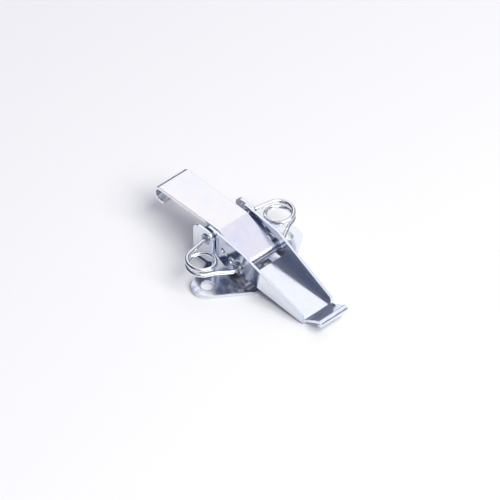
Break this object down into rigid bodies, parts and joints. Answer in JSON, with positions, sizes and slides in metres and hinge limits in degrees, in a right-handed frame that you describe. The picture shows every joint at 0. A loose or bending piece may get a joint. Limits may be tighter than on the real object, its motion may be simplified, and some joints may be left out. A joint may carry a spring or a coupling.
{
  "type": "spring-loaded toggle latch",
  "caption": "Zinc-plated over-centre toggle latch with a hooked claw strap, a channel lever and twin torsion springs on a lobed base plate.",
  "frame": {"origin": "midway between the two fixing holes, on the base plate's underside", "axes": "+X from the claw to the finger lip, +Y along the fulcrum axis, +Z away from the mounting surface"},
  "size_m": [0.0977, 0.0562, 0.0183],
  "materials": {
    "base_zinc": "bright zinc plate on stamped sheet",
    "lever_zinc": "bright zinc plate on stamped sheet",
    "strap_zinc": "bright zinc plate on formed strip",
    "spring_wire": "bright zinc-plated spring wire",
    "rivet_zinc": "zinc-plated turned steel"
  },
  "bodies": {
    "base": {"base_plate": "base_zinc", "fulcrum_tube": "rivet_zinc", "fulcrum_sleeve": "rivet_zinc", "left_fulcrum_washer": "rivet_zinc", "right_fulcrum_washer": "rivet_zinc"},
    "lever": {"lever": "lever_zinc", "left_spring": "spring_wire", "right_spring": "spring_wire"},
    "strap_carriage": {"strap_tube": "rivet_zinc", "left_strap_spacer": "rivet_zinc", "right_strap_spacer": "rivet_zinc", "left_strap_washer": "rivet_zinc", "right_strap_washer": "rivet_zinc"},
    "claw": {"claw_strap": "strap_zinc"}
  },
  "joints": [
    {"name": "lever_pivot", "type": "hinge", "parent": "base", "child": "lever", "pos_m": [-0.0107, 0, 0.0136], "axis": [0, -1, 0], "range_deg": [0, 150]},
    {"name": "strap_take_up", "type": "slide", "parent": "lever", "child": "strap_carriage", "axis": [-0.9458, 0, 0.3246], "range_m": [0, 0.004], "stiffness_N_per_m": 10000, "springref_m": -0.002, "deforming": ["left_spring", "right_spring"]},
    {"name": "strap_pivot", "type": "hinge", "parent": "strap_carriage", "child": "claw", "pos_m": [0.0062, 0, 0.0078], "axis": [0, 1, 0], "range_deg": [0, 125]}
  ],
  "couplings": [
    {"joint": "strap_pivot", "follows": "lever_pivot", "ratio": 0.83}
  ]
}
